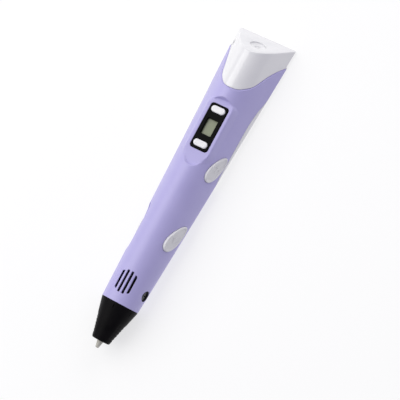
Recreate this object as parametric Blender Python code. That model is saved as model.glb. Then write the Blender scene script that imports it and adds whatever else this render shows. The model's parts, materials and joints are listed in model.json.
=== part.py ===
"""Handheld three d printing pen, lying on its flat back.

World frame: +X runs from the nozzle to the tail, +Z out of the display, -Y out of the flank with the oval
buttons. The helpers take millimetres, with x measured from the tip of the nozzle, y from the middle plane and z
from the back.
"""

import math

import bmesh
import bpy
from mathutils import Matrix, Vector

MM = 0.001
WELD = 0.002 * MM  # points this close are one after a cut

# Body
LENGTH = 184.0
GRIP_END = 24.6  # where the black grip meets the shells
FRONT_R = 10.1  # round section behind the grip; its axis is the nozzle axis
TAIL_DEPTH = 21.0
TAIL_HALF_WIDTH = 17.2
TAIL_CORNER_Z = 1.3
TAIL_NOSE_Y = 7.66  # handle that flattens the nose of the tail section
TAIL_FLANK = (13.75, 7.52)  # handle that bows the flank of the tail section
ARC = 0.5523  # handle length of a quarter circle
WALL = 1.6
GAP = 0.15  # half of the gap between pieces that meet
TAIL_SLOPE = 0.767  # how far the tail face leans towards the nozzle for each mm of height
TAIL_FOOT = 184.3  # where the tail face would meet z = 0
CAP_INSET = 0.4
CAP_EDGE = [  # (x, z) of the line where the end cap meets the front shell
    (146.6, 22.5), (146.7, 20.8), (147.7, 19.2), (150.1, 17.0), (153.2, 14.4), (157.0, 12.4),
    (161.8, 10.0), (166.0, 7.3), (169.2, 4.8), (172.2, 2.1), (174.2, 0.0), (175.2, -2.0),
]
SEAM = [(24.0, 3.6), (97.0, 2.4)]  # (x, z) of the seam between front shell and back shell
TRIM_EDGE = [  # (x, z) of the top edge of the white rear trim on the flanks
    (98.0, 2.6), (99.2, 3.5), (101.0, 4.7), (104.0, 5.5), (110.0, 5.8), (120.0, 5.9), (131.0, 5.85),
    (137.5, 5.6), (144.5, 4.6), (150.0, 3.1), (156.0, 1.9), (165.0, 1.4), (178.0, 1.3),
]
TRIM_START = 98.0

# Display
PAD_Z = 19.0
PAD_START, PAD_STRAIGHT, PAD_END, PAD_HALF = 102.8, 112.0, 139.7, 6.5
BEZEL = (123.9, 25.4, 9.9)  # centre x, length, width
LCD_OPENING = (8.7, 5.6)
PILLS = {"lower_button": 114.3, "upper_button": 133.7}
PILL_SIZE = (3.55, 7.7)

# Side controls
OVALS = {"feed_button": (66.2, 12.9), "retract_button": (107.0, 11.1)}  # x, z of the centre on the -Y flank
OVAL_RADII = (8.6, 4.0)
OVAL_LEAN = math.radians(-24)
BOARD_POST = {"feed_button": -10.8, "retract_button": 10.8}  # where its switch board is held
SLIDER = (63.8, 10.4)  # x, z of the slide track on the +Y flank
TRACK = (27.5, 9.0)
SLOT = (19.5, 2.2)

# Feeder
AXLE = (89.4, 1.3)
FEED_Z = 10.1
FILAMENT_Y = -2.2
ROLLER_R = 2.6
IDLER_R = 2.8
IDLER = (AXLE[0], FILAMENT_Y - 0.875 - IDLER_R)
PIVOT = (AXLE[0] + 5.3, -6.4)
WORM_Y, WORM_Z = 5.9, 6.9
WORM_LEAD = 0.5 * math.pi
WORM_HALF = 4.2
WHEEL_TEETH = 12

# Feed port
PORT_Z = 11.5
PORT_R = 4.3
PORT_DEPTH = 0.8  # of the dish round the filament hole


# ---------------------------------------------------------------- helpers

def clear():
    for obj in list(bpy.data.objects):
        bpy.data.objects.remove(obj, do_unlink=True)
    for group in list(bpy.data.collections):
        bpy.data.collections.remove(group)


def collection(name):
    group = bpy.data.collections.new(name)
    bpy.context.scene.collection.children.link(group)
    return group


def material(name, colour, roughness, metallic=0.0):
    made = bpy.data.materials.new(name)
    made.use_nodes = True
    shader = made.node_tree.nodes["Principled BSDF"]
    shader.inputs["Base Color"].default_value = (*colour, 1.0)
    shader.inputs["Roughness"].default_value = roughness
    shader.inputs["Metallic"].default_value = metallic
    made.diffuse_color = (*colour, 1.0)
    return made


def world(point):
    return Vector(((point[0] - LENGTH / 2) * MM, point[1] * MM, point[2] * MM))


def add(name, points, faces, paint=None, origin=None, smooth=False):
    """A closed mesh. With paint it's a part, and without it's a cutter or a piece to join."""
    base = world(origin) if origin else Vector()
    mesh = bpy.data.meshes.new(name)
    mesh.from_pydata([world(p) - base for p in points], [], faces)
    bm = bmesh.new()
    bm.from_mesh(mesh)
    bmesh.ops.recalc_face_normals(bm, faces=bm.faces)
    if bm.calc_volume(signed=True) < 0:
        bmesh.ops.reverse_faces(bm, faces=bm.faces)
    bm.to_mesh(mesh)
    bm.free()
    obj = bpy.data.objects.new(name, mesh)
    obj.location = base
    if smooth:
        mesh.polygons.foreach_set("use_smooth", [True] * len(mesh.polygons))
        mesh.set_sharp_from_angle(angle=math.radians(35))
    if paint:
        mesh.materials.append(paint)
        PEN.objects.link(obj)
    else:
        CUTTERS.objects.link(obj)
        obj.hide_render = True
        obj.display_type = "WIRE"
    return obj


def boolean(obj, operation, *others):
    for other in others:
        step = obj.modifiers.new(f"{operation.lower()} {other.name}", "BOOLEAN")
        step.solver = "EXACT"
        step.operation = operation
        step.object = other
        weld = obj.modifiers.new("weld", "WELD")
        weld.merge_threshold = WELD
    return obj


def cut(obj, *others):
    return boolean(obj, "DIFFERENCE", *others)


def join(obj, *others):
    return boolean(obj, "UNION", *others)


def loft(name, rings, **options):
    """Rings of equally many points, joined side to side and closed by flat ends."""
    count = len(rings[0])
    points = [p for ring in rings for p in ring]
    faces = [
        (i * count + j, i * count + (j + 1) % count, (i + 1) * count + (j + 1) % count, (i + 1) * count + j)
        for i in range(len(rings) - 1)
        for j in range(count)
    ]
    faces.append(tuple(range(count)))
    faces.append(tuple((len(rings) - 1) * count + j for j in range(count)))
    return add(name, points, faces, **options)


def box(name, x, y, z, **options):
    """A box between the pairs x, y and z."""
    ring = [(y[0], z[0]), (y[1], z[0]), (y[1], z[1]), (y[0], z[1])]
    return loft(name, [[(x[0], a, b) for a, b in ring], [(x[1], a, b) for a, b in ring]], **options)


def prism(name, outline, z, frame=None, top=None, **options):
    """An outline in the plane of frame, extruded between the heights z. Top is the second height's outline."""
    frame = frame or Matrix.Identity(4)
    rings = [
        [tuple(frame @ Vector((a, b, height))) for a, b in flat]
        for flat, height in ((outline, z[0]), (top or outline, z[1]))
    ]
    return loft(name, rings, **options)


def side_prism(name, outline, y=(-30.0, 30.0), **options):
    """An outline of (x, z) points, extruded along y."""
    return loft(name, [[(a, y[0], b) for a, b in outline], [(a, y[1], b) for a, b in outline]], **options)


def revolve(name, profile, centre, axis="X", steps=24, **options):
    """A closed profile of (along, radius) points turned round an axis through centre."""
    options.setdefault("smooth", True)
    points, rows = [], []
    for along, radius in profile:
        turns = steps if radius > 1e-6 else 1
        rows.append([len(points) + k for k in range(turns)])
        for k in range(turns):
            a = math.tau * k / steps
            across = (radius * math.cos(a), radius * math.sin(a))
            offset = {
                "X": (along, *across), "Y": (across[1], along, across[0]), "Z": (*across, along)
            }[axis]
            points.append(tuple(c + d for c, d in zip(centre, offset)))
    faces = []
    for first, second in zip(rows, rows[1:] + rows[:1]):
        if len(first) == len(second) == 1:
            continue
        for k in range(steps):
            n = (k + 1) % steps
            corners = [first[k % len(first)], first[n % len(first)],
                       second[n % len(second)], second[k % len(second)]]
            faces.append(tuple(dict.fromkeys(corners)))
    return add(name, points, faces, **options)


def rod(name, centre, radius, span, axis="Z", steps=20, **options):
    return revolve(name, [(span[0], 0), (span[0], radius), (span[1], radius), (span[1], 0)],
                   centre, axis, steps, **options)


def sleeve(name, centre, inner, outer, span, axis="Z", steps=20, **options):
    return revolve(name, [(span[0], inner), (span[0], outer), (span[1], outer), (span[1], inner)],
                   centre, axis, steps, **options)


def tube(name, path, outer, inner=0.0, steps=10, **options):
    """A round section swept along path, hollow when inner is given."""
    options.setdefault("smooth", True)
    path = [Vector(p) for p in path]
    across = Vector((0, 0, 1))
    outside, inside = [], []
    for i, p in enumerate(path):
        along = (path[min(i + 1, len(path) - 1)] - path[max(i - 1, 0)]).normalized()
        side = along.cross(across).normalized()
        across = side.cross(along).normalized()
        for rows, radius in ((outside, outer), (inside, inner)):
            rows.append([
                tuple(p + radius * (math.cos(math.tau * k / steps) * side
                                    + math.sin(math.tau * k / steps) * across))
                for k in range(steps)
            ])
    if not inner:
        return loft(name, outside, **options)
    rows = outside + inside[::-1]
    points = [p for row in rows for p in row]
    faces = []
    for i in range(len(rows)):
        n = (i + 1) % len(rows)
        for j in range(steps):
            k = (j + 1) % steps
            faces.append((i * steps + j, i * steps + k, n * steps + k, n * steps + j))
    return add(name, points, faces, **options)


def curve(points, steps=6):
    """A smooth path through points, level with its neighbours at each."""
    points = [Vector(p) for p in points]
    path = []
    for i in range(len(points) - 1):
        before, a, b = points[max(i - 1, 0)], points[i], points[i + 1]
        after = points[min(i + 2, len(points) - 1)]
        for k in range(steps):
            t = k / steps
            path.append(0.5 * (2 * a + (b - before) * t + (2 * before - 5 * a + 4 * b - after) * t * t
                               + (3 * a - before - 3 * b + after) * t ** 3))
    return path + [points[-1]]


def ellipse(a, b, lean=0.0, steps=32):
    turn = Matrix.Rotation(lean, 2)
    return [tuple(turn @ Vector((a * math.cos(math.tau * k / steps), b * math.sin(math.tau * k / steps))))
            for k in range(steps)]


def rounded(length, width, radius, steps=4, centre=(0.0, 0.0)):
    """A rectangle with rounded corners: length along x, width along y."""
    outline = []
    for turn, sx, sy in ((0, 1, 1), (1, -1, 1), (2, -1, -1), (3, 1, -1)):
        cx, cy = sx * (length / 2 - radius), sy * (width / 2 - radius)
        for k in range(steps + 1):
            a = (turn + k / steps) * math.pi / 2
            outline.append((centre[0] + cx + radius * math.cos(a), centre[1] + cy + radius * math.sin(a)))
    return outline


# ---------------------------------------------------------------- body section

def bezier(p0, p1, p2, p3, steps):
    path = []
    for k in range(steps + 1):
        t = k / steps
        path.append((1 - t) ** 3 * p0 + 3 * (1 - t) ** 2 * t * p1 + 3 * (1 - t) * t * t * p2 + t ** 3 * p3)
    return path


def half_section(x, inset=0.0, upper=9, lower=5):
    """(y, z) from the nose to the edge of the flat back, from a circle at the grip to a rounded triangle."""
    u = (x - GRIP_END) / (LENGTH - GRIP_END)

    def mix(front, tail):
        return front + (tail - front) * u

    top = mix(2 * FRONT_R, TAIL_DEPTH) - inset
    nose = Vector((0.0, top))
    shoulder = Vector((mix(ARC * FRONT_R, TAIL_NOSE_Y) - inset * mix(ARC, 0.35), top))
    flank = Vector((mix(FRONT_R, TAIL_FLANK[0]) - inset * mix(1.0, 0.87),
                    mix(FRONT_R * (1 + ARC), TAIL_FLANK[1]) - inset * mix(ARC, 0.49)))
    corner = Vector((mix(FRONT_R, TAIL_HALF_WIDTH) - inset * mix(1.0, 1.25),
                     mix(FRONT_R, TAIL_CORNER_Z) + inset * mix(0.0, 0.5)))
    drop = corner.y - inset
    flat = max(0.3, corner.x - drop)
    below = corner + (corner - flank).normalized() * ARC * drop
    inner = Vector((flat + ARC * (corner.x - flat), inset))
    return (bezier(nose, shoulder, flank, corner, upper)
            + bezier(corner, below, inner, Vector((flat, inset)), lower)[1:])


def section(x, inset=0.0):
    half = half_section(x, inset)
    return [(x, -p.x, p.y) for p in half] + [(x, p.x, p.y) for p in half[:0:-1]]


def body(name, start, end, inset=0.0, steps=8, **options):
    return loft(name, [section(start + (end - start) * k / steps, inset) for k in range(steps + 1)], **options)


def surface_point(x, z, side):
    half = half_section(x, upper=60)[:61]
    near = min(range(1, 60), key=lambda k: abs(half[k].y - z))
    return Vector((x, side * half[near].x, half[near].y)), half[near - 1], half[near + 1]


def flank_frame(x, z, side):
    """The frame of the flank: its X runs to the tail, and its Z out of the flank."""
    point, above, below = surface_point(x, z, side)
    ahead = surface_point(x + 4, z, side)[0]
    up = Vector((0, side * (above.x - below.x), above.y - below.y)).normalized()
    along = (ahead - point).normalized()
    out = along.cross(up).normalized() * -side
    along = (along - out * along.dot(out)).normalized()
    up = out.cross(along)
    frame = Matrix((along, up, out)).transposed().to_4x4()
    frame.translation = point
    return frame


def region_above(name, edge, lift, ceiling=40.0):
    """Everything over the line edge, which is raised by lift."""
    return side_prism(name, [(x, z + lift) for x, z in edge] + [(edge[-1][0], ceiling), (edge[0][0], ceiling)])


def region_below(name, edge, lift, floor=-20.0):
    return side_prism(name, [(x, z + lift) for x, z in edge] + [(edge[-1][0], floor), (edge[0][0], floor)])


def cap_line(shift):
    return [(x + shift, z) for x, z in CAP_EDGE]


def pad_outline(grow=0.0, steps=10):
    """The tongue round the display: a half ellipse, straight sides and a shallow arch."""
    half = PAD_HALF + grow
    foot = [(PAD_STRAIGHT - (PAD_STRAIGHT - PAD_START + grow) * math.cos(math.pi * (k / steps - 0.5)),
             half * math.sin(math.pi * (k / steps - 0.5))) for k in range(steps + 1)]
    arch = [(PAD_END + grow - 2.2 * (y / PAD_HALF) ** 2, y * (1 + grow / PAD_HALF))
            for y in (PAD_HALF, 5.6, 4.0, 2.0, 0.0, -2.0, -4.0, -5.6, -PAD_HALF)]
    return foot + arch


# ---------------------------------------------------------------- shells

CASE_POSTS = [(45.5, 4.6, 17.4), (78.9, 6.6, 14.9)]  # x, y of a screw post and the height of its top
TRIM_POSTS = [(146.0, 8.5, 12.8)]
POST_FOOT = 5.0


def sides(posts):
    return [(x, side * y, top) for x, y, top in posts for side in (-1, 1)]


def make_front_shell():
    shell = body("front_shell", GRIP_END, 178.0, steps=9, paint=LAVENDER, smooth=True)
    cut(shell, body("front_shell_cavity", GRIP_END - 1, 180.0, WALL, 7))
    cut(shell, region_below("under_seam", SEAM + TRIM_EDGE, GAP),
        side_prism("under_cap", [(x - GAP, z) for x, z in CAP_EDGE] + [(200, -2), (200, 22.5)]))
    join(shell, prism("display_pad", pad_outline(2.2), (16.6, PAD_Z + 0.8), top=pad_outline()))
    cut(shell, prism("display_recess", pad_outline(0.7), (PAD_Z, 24.0), top=pad_outline(4.0)))
    for x, y, top in sides(CASE_POSTS + TRIM_POSTS):
        join(shell, rod(f"post_{x:.0f}_{y:+.0f}", (x, y, 0), 1.8, (POST_FOOT, top), steps=12))
    join(shell, rod("screw_cup", (33.6, 0, 11.0), 4.2, (-9.6, -6.9), axis="Y"))
    for name, (x, z) in OVALS.items():
        join(shell, prism(f"{name}_post", rounded(2.0, 4.4, 0.3, 1, (BOARD_POST[name], 0)), (-5.85, -0.9),
                          flank_frame(x, z, -1)))
    track = flank_frame(*SLIDER, 1)
    join(shell, prism("track_floor", rounded(TRACK[0] + 2.6, TRACK[1] + 2.0, 2.0), (-2.7, -1.56), track))
    for x, y in ((100.0, 4.3), (100.0, -4.3), (142.4, 4.3), (142.4, -4.3)):
        join(shell, rod(f"board_post_{x:.0f}_{y:+.0f}", (x, y, 0), 1.2, (14.9, 18.0), steps=8))

    cut(shell, prism("bezel_pocket", rounded(BEZEL[1] + 0.3, BEZEL[2] + 0.3, 1.65, centre=(BEZEL[0], 0)),
                     (17.9, 25)))
    cut(shell, prism("display_window", rounded(24.8, 9.0, 1.0, 2, (BEZEL[0], 0)), (15, 25)))
    slots = [box(f"vent_slot_{i}", (29.6 + (0.9 if i in (0, 3) else 0), 41.7 - (1.2 if i in (0, 3) else 0)),
                 (-3.6 + 2.4 * i - 0.62, -3.6 + 2.4 * i + 0.62), (15.0, 25.0)) for i in range(4)]
    cut(shell, *slots)
    cut(shell, rod("screw_pocket", (33.6, 0, 11.0), 3.1, (-14, -8.05), axis="Y"),
        rod("screw_hole", (33.6, 0, 11.0), 1.4, (-9, -6), axis="Y", steps=12))
    for name, (x, z) in OVALS.items():
        cut(shell, prism(f"{name}_opening", ellipse(OVAL_RADII[0] + 0.25, OVAL_RADII[1] + 0.25, OVAL_LEAN),
                         (-3.5, 4.0), flank_frame(x, z, -1)))
    cut(shell, prism("slide_track", rounded(*TRACK, TRACK[1] / 2 - 0.1, 5), (-1.1, 4.0), track),
        prism("slide_slot", rounded(*SLOT, 1.0, 3), (-4.0, 0.0), track))
    for x, y, top in sides(CASE_POSTS + TRIM_POSTS):
        cut(shell, rod(f"pilot_{x:.0f}_{y:+.0f}", (x, y, 0), 0.95, (3.5, 11.0), steps=10))
    return shell


def make_back_shell():
    shell = body("back_shell", GRIP_END, TRIM_START - GAP, steps=5, paint=LAVENDER, smooth=True)
    cut(shell, body("back_shell_cavity", GRIP_END - 1, TRIM_START + 1, WALL, 5))
    cut(shell, region_above("over_back_seam", [(20.0, 3.67), (97.0, 2.4), (100.0, 2.35)], -GAP))
    add_bosses(shell, CASE_POSTS)
    return shell


def add_bosses(shell, posts):
    for x, y, _ in sides(posts):
        tag = f"{x:.0f}_{y:+.0f}"
        join(shell, rod(f"boss_{tag}", (x, y, 0), 2.05, (1.0, POST_FOOT - 0.3), steps=14))
        cut(shell, rod(f"counterbore_{tag}", (x, y, 0), 1.75, (-2, 2.2), steps=14),
            rod(f"screw_way_{tag}", (x, y, 0), 1.05, (1, 6), steps=10))


def make_rear_trim():
    trim = body("rear_trim", TRIM_START + GAP, 176.0, steps=7, paint=WHITE, smooth=True)
    cut(trim, body("rear_trim_cavity", TRIM_START - 1, 178.0, WALL, 6))
    cut(trim, region_above("over_trim", [(90.0, 2.55)] + TRIM_EDGE, -GAP))
    cut(trim, side_prism("trim_end", [(x - GAP, z) for x, z in CAP_EDGE] + [(200, -2), (200, 22.5)]))
    add_bosses(trim, TRIM_POSTS)
    return trim


def tail_wedge(name, foot):
    """Everything beyond a plane parallel to the tail face."""
    return side_prism(name, [(foot + 4 * TAIL_SLOPE, -4), (foot - 30 * TAIL_SLOPE, 30), (260, 30), (260, -4)])


def tail_frame():
    """A place on the tail face at the feed port: its Z runs out of the face."""
    out = Vector((1.0, 0.0, TAIL_SLOPE)).normalized()
    across = Vector((0.0, 1.0, 0.0))
    frame = Matrix((across, out.cross(across), out)).transposed().to_4x4()
    frame.translation = (TAIL_FOOT - TAIL_SLOPE * PORT_Z, 0.0, PORT_Z)
    return frame


def make_end_cap():
    cap = body("end_cap", 140.0, 186.0, CAP_INSET, 5, paint=WHITE, smooth=True)
    cut(cap, side_prism("before_cap", [(x + GAP, z) for x, z in CAP_EDGE] + [(120, -2), (120, 22.5)]))
    hollow = body("cap_cavity", 139.0, 187.0, CAP_INSET + 1.8, 5)
    cut(hollow, tail_wedge("cap_tail_wall", TAIL_FOOT - 2.4))
    cut(cap, hollow)
    skirt = body("cap_skirt", 141.0, 176.0, WALL + 0.3, 5)
    cut(skirt, body("cap_skirt_cavity", 140.0, 177.0, WALL + 1.3, 5))
    cut(skirt, side_prism("before_skirt", [(x - 3.0, z) for x, z in CAP_EDGE] + [(120, -2), (120, 22.5)]),
        side_prism("after_skirt", [(x + 1.6, z) for x, z in CAP_EDGE] + [(200, -2), (200, 22.5)]),
        box("under_skirt", (130, 190), (-30, 30), (-5, 7.0)))
    join(cap, skirt)
    join(cap, rod("port_tube", (0, 0, PORT_Z), PORT_R + 1.3, (167.0, 182.0), axis="X", steps=32))
    cut(cap, tail_wedge("tail_face", TAIL_FOOT))
    cut(cap, prism("port_bore", ellipse(PORT_R, PORT_R), (-2.25, 12.0), tail_frame()),
        rod("port_stem_way", (0, 0, PORT_Z), 3.2, (160.0, 178.0), axis="X", steps=24))
    cut(cap, box("jack_pocket", (169.8, 175.8), (5.4, 12.2), (1.9, 7.9)),
        rod("jack_mouth", (172.8, 0, 4.9), 2.3, (12.0, 20.0), axis="Y"))
    return cap


# ---------------------------------------------------------------- nose and hot end

def make_nose():
    axis = (0, 0, FRONT_R)
    revolve("grip_nose", [
        (3.9, 1.9), (3.9, 4.5), (4.5, 4.95), (GRIP_END - 0.3, FRONT_R - 0.06), (GRIP_END - 0.3, 8.25),
        (28.2, 8.25), (28.2, 7.2), (23.5, 7.2), (6.2, 3.3), (6.2, 1.9),
    ], axis, steps=30, paint=BLACK)
    revolve("nozzle", [
        (0.0, 0.35), (0.0, 0.87), (3.9, 1.69), (6.5, 1.72), (6.5, 2.9), (8.2, 2.9), (8.2, 2.0), (11.8, 2.0),
        (11.8, 1.05), (2.4, 1.05), (1.2, 0.35),
    ], axis, steps=16, paint=CERAMIC)
    sleeve("hot_end_barrel", axis, 1.05, 2.2, (12.0, 46.2), axis="X", paint=BRASS)
    sleeve("heater_sleeve", axis, 2.4, 4.0, (14.0, 29.0), axis="X", steps=24, paint=ALUMINIUM)
    revolve("thermistor", [(-1.3, 0), (-0.9, 0.45), (0.0, 0.6), (0.9, 0.45), (1.3, 0)],
            (20.0, 0, FRONT_R + 4.85), steps=10, paint=GLASS_BEAD)
    carrier = sleeve("hot_end_carrier", axis, 2.45, 6.6, (30.6, 41.6), axis="X", steps=24, paint=DARK)
    cut(carrier, rod("carrier_thread", (33.6, 0, 11.0), 1.25, (-8, -3.0), axis="Y", steps=12))
    screw = revolve("grip_screw", [
        (-9.55, 0), (-9.55, 2.5), (-9.3, 2.8), (-8.2, 2.8), (-8.2, 1.1), (-3.9, 1.1), (-3.4, 0.5), (-3.4, 0),
    ], (33.6, 0, 11.0), axis="Y", steps=20, paint=STEEL)
    cut(screw, box("screw_cross_1", (33.25, 33.95), (-11, -8.9), (9.5, 12.5)),
        box("screw_cross_2", (32.1, 35.1), (-11, -8.9), (10.65, 11.35)))


# ---------------------------------------------------------------- feeder

def gear_outline(turn):
    outline = []
    for k in range(WHEEL_TEETH):
        middle = math.radians(90) + math.tau * (k + 0.5) / WHEEL_TEETH + turn
        for angle, radius in ((-9.4, 2.42), (-6.2, 3.0), (-3.4, 3.38), (3.4, 3.38), (6.2, 3.0), (9.4, 2.42)):
            a = middle + math.radians(angle)
            outline.append((AXLE[0] + radius * math.cos(a), AXLE[1] + radius * math.sin(a)))
    return outline


def make_feeder():
    rod("drive_axle", (*AXLE, 0), 1.0, (2.4, 12.9), paint=STEEL, origin=(*AXLE, FEED_Z), steps=16)
    twist = math.radians(3.0)
    wheel = loft("worm_wheel", [
        [(x, y, z) for x, y in gear_outline(twist * (z - WORM_Z))] for z in (5.4, 6.4, 7.4, 8.4)
    ], paint=BRASS, origin=(*AXLE, FEED_Z))
    cut(wheel, rod("wheel_bore", (*AXLE, 0), 1.12, (4, 10), steps=16))
    knurl = []
    for k in range(44):
        a = math.tau * k / 44
        radius = ROLLER_R - (0.18 if k % 2 else 0.0)
        knurl.append((AXLE[0] + radius * math.cos(a), AXLE[1] + radius * math.sin(a)))
    roller = prism("feed_roller", knurl, (8.9, 11.4), paint=STEEL, origin=(*AXLE, FEED_Z))
    cut(roller, rod("roller_bore", (*AXLE, 0), 1.12, (8, 13), steps=16))

    sleeve("idler_bearing", (*IDLER, 0), 1.25, IDLER_R, (8.9, 11.4), steps=24, paint=STEEL,
           origin=(*IDLER, FEED_Z))
    rod("idler_pin", (*IDLER, 0), 1.1, (6.95, 11.9), paint=STEEL, steps=14, origin=(*PIVOT, FEED_Z))
    end = Vector((AXLE[0] - 4.4, -5.6))
    along = (end - Vector(PIVOT)).normalized()
    side = Vector((-along.y, along.x))
    outline = []
    for middle, turn in ((Vector(PIVOT), -1), (end, 1)):
        for k in range(7):
            a = math.pi * (k / 6 - 0.5)
            outline.append(tuple(middle + 1.5 * (turn * math.cos(a) * along + turn * math.sin(a) * side)))
    arm = prism("idler_arm", outline, (6.9, 8.5), paint=DARK, origin=(*PIVOT, FEED_Z))
    cut(arm, rod("arm_pivot_bore", (*PIVOT, 0), 1.05, (6, 9), steps=14),
        rod("arm_pin_bore", (*IDLER, 0), 1.2, (6, 9), steps=14))
    rod("arm_pivot_pin", (*PIVOT, 0), 0.9, (2.4, 12.9), paint=STEEL, steps=14)
    coil = [(AXLE[0] - 3.6 + 1.1 * math.cos(math.tau * t / 8), -8.15 - 1.35 * t / 24,
             7.7 + 1.1 * math.sin(math.tau * t / 8)) for t in range(25)]
    tube("idler_spring", coil, 0.18, steps=5, paint=STEEL)

    front = (AXLE[0] - 8.0, AXLE[0] - 6.5)
    rear = (AXLE[0] + 7.1, AXLE[0] + 8.6)
    frame = box("feeder_frame", (front[0], rear[1]), (-7.4, 7.4), (2.0, 3.2), paint=DARK)
    join(frame, box("frame_front_wall", front, (-8.3, 8.3), (2.8, 12.0)),
         box("frame_rear_wall", rear, (-8.0, 9.0), (2.8, 11.8)),
         box("frame_roof", (front[0], rear[1]), (-7.9, 5.0), (12.3, 13.2)),
         box("frame_front_riser", front, (-7.9, 5.0), (11.5, 12.8)),
         box("frame_rear_riser", rear, (-7.9, 5.0), (11.5, 12.8)),
         box("frame_spring_arm", front, (-10.3, -8.0), (5.2, 8.8)),
         box("frame_spring_seat", (front[0], front[1] + 5.1), (-10.4, -9.75), (5.4, 8.6)))
    cut(frame, rod("axle_holes", (*AXLE, 0), 1.15, (1, 15), steps=14),
        rod("pivot_holes", (*PIVOT, 0), 1.05, (1, 15), steps=14),
        rod("tube_holes", (AXLE[0], FILAMENT_Y, FEED_Z), 2.15, (-10, 10), axis="X", steps=18),
        rod("gearbox_hole", (AXLE[0], WORM_Y, WORM_Z), 2.6, (5, 10), axis="X", steps=18))


def make_drive():
    turn_axis = (*AXLE[:1], WORM_Y, WORM_Z)
    lobes = [(-46, 2.0), (-20, 2.0), (20, 2.0), (46, 2.0), (77, 1.5), (109, 1.05), (145, 1.05), (180, 1.05),
             (215, 1.05), (251, 1.05), (283, 1.5)]
    rings = []
    steps = 44
    for i in range(steps + 1):
        x = WORM_HALF * (2 * i / steps - 1)
        fade = min(1.0, (WORM_HALF - abs(x)) / 0.8)
        start = math.pi + math.tau * x / WORM_LEAD
        rings.append([
            (AXLE[0] + x, WORM_Y + r * math.cos(a), WORM_Z + r * math.sin(a))
            for r, a in ((1.05 + (radius - 1.05) * fade, start + math.radians(angle)) for angle, radius in lobes)
        ])
    loft("worm", rings, paint=STEEL, origin=turn_axis)
    rod("output_shaft", turn_axis, 1.0, (4.4, 11.6), axis="X", paint=STEEL, steps=16, origin=turn_axis)
    revolve("gearbox", [
        (7.2, 1.15), (7.2, 2.4), (8.9, 2.4), (8.9, 4.4), (9.3, 4.7), (18.8, 4.7), (18.8, 0), (12.1, 0),
        (12.1, 1.15),
    ], turn_axis, steps=24, paint=BRASS)
    revolve("motor", [
        (19.1, 0), (19.1, 4.8), (43.4, 4.8), (44.2, 4.3), (44.2, 1.6), (45.6, 1.6), (45.6, 0),
    ], turn_axis, steps=28, paint=STEEL)


def make_guides():
    tube("outlet_tube", curve([(46.6, 0, FEED_Z), (58, 0, FEED_Z), (68, 0, FEED_Z), (75, -1.4, FEED_Z),
                               (81.0, FILAMENT_Y, FEED_Z), (85.4, FILAMENT_Y, FEED_Z)], 2), 2.0, 1.05, 10,
         paint=PTFE)
    tube("inlet_tube", curve([(93.6, FILAMENT_Y, FEED_Z), (99, FILAMENT_Y, FEED_Z), (134, FILAMENT_Y, FEED_Z),
                              (150, -1.2, 10.6), (162, 0, PORT_Z), (167.3, 0, PORT_Z)], 2), 2.0, 1.05, 10,
         paint=PTFE)
    port = rod("feed_port", (0, 0, PORT_Z), 3.05, (164.8, 176.0), axis="X", steps=24, paint=WHITE)
    join(port, prism("port_disc", ellipse(PORT_R - 0.15, PORT_R - 0.15), (-2.1, -0.2), tail_frame()))
    cut(port, prism("port_dish", ellipse(9.0, 9.0, steps=16), (-PORT_DEPTH, 12.0), tail_frame()),
        rod("port_hole", (0, 0, PORT_Z), 1.2, (160.0, 190.0), axis="X", steps=20),
        rod("port_socket", (0, 0, PORT_Z), 2.15, (160.0, 167.6), axis="X", steps=20))


# ---------------------------------------------------------------- electronics and controls

def make_display():
    bezel = prism("display_bezel", rounded(BEZEL[1], BEZEL[2], 1.5, 5, (BEZEL[0], 0)), (18.05, 19.3),
                  paint=GLOSS_BLACK)
    cut(bezel, prism("lcd_opening", rounded(*LCD_OPENING, 0.4, 2, (BEZEL[0], 0)), (17, 21)))
    prism("lcd_module", rounded(12.0, 8.4, 0.5, 1, (BEZEL[0], 0)), (14.75, 16.5), paint=LCD_GREEN)
    wide, tall = PILL_SIZE
    for name, x in PILLS.items():
        pill = lambda grow: rounded(wide + grow, tall + grow, (wide + grow) / 2 - 0.05, 6, (x, 0))
        cut(bezel, prism(f"{name}_opening", pill(0.3), (17, 21)))
        button = prism(name, pill(0.0), (17.4, 19.65), paint=WHITE, origin=(x, 0, 19.3), smooth=True)
        join(button, prism(f"{name}_crown", pill(0.0), (19.6, 19.9), top=pill(-0.7)),
             prism(f"{name}_flange", rounded(4.5, 8.6, 1.2, 2, (x, 0)), (17.1, 17.75)),
             rod(f"{name}_stem", (x, 0, 0), 0.9, (16.7, 17.5), steps=12))
        switch = box(name.replace("button", "switch"), (x - 2.25, x + 2.25), (-2.25, 2.25), (14.75, 15.9),
                     paint=BLACK)
        join(switch, rod(f"{name}_plunger", (x, 0, 0), 0.85, (15.5, 16.2), steps=12))


def make_boards():
    box("main_board", (98.4, 144.0), (-5.0, 5.0), (13.6, 14.6), paint=BOARD)
    box("controller_chip", (119.0, 126.0), (-3.5, 3.5), (12.55, 13.45), paint=BLACK)
    box("driver_chip", (133.0, 138.0), (-2.5, 2.0), (12.55, 13.45), paint=BLACK)


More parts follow.
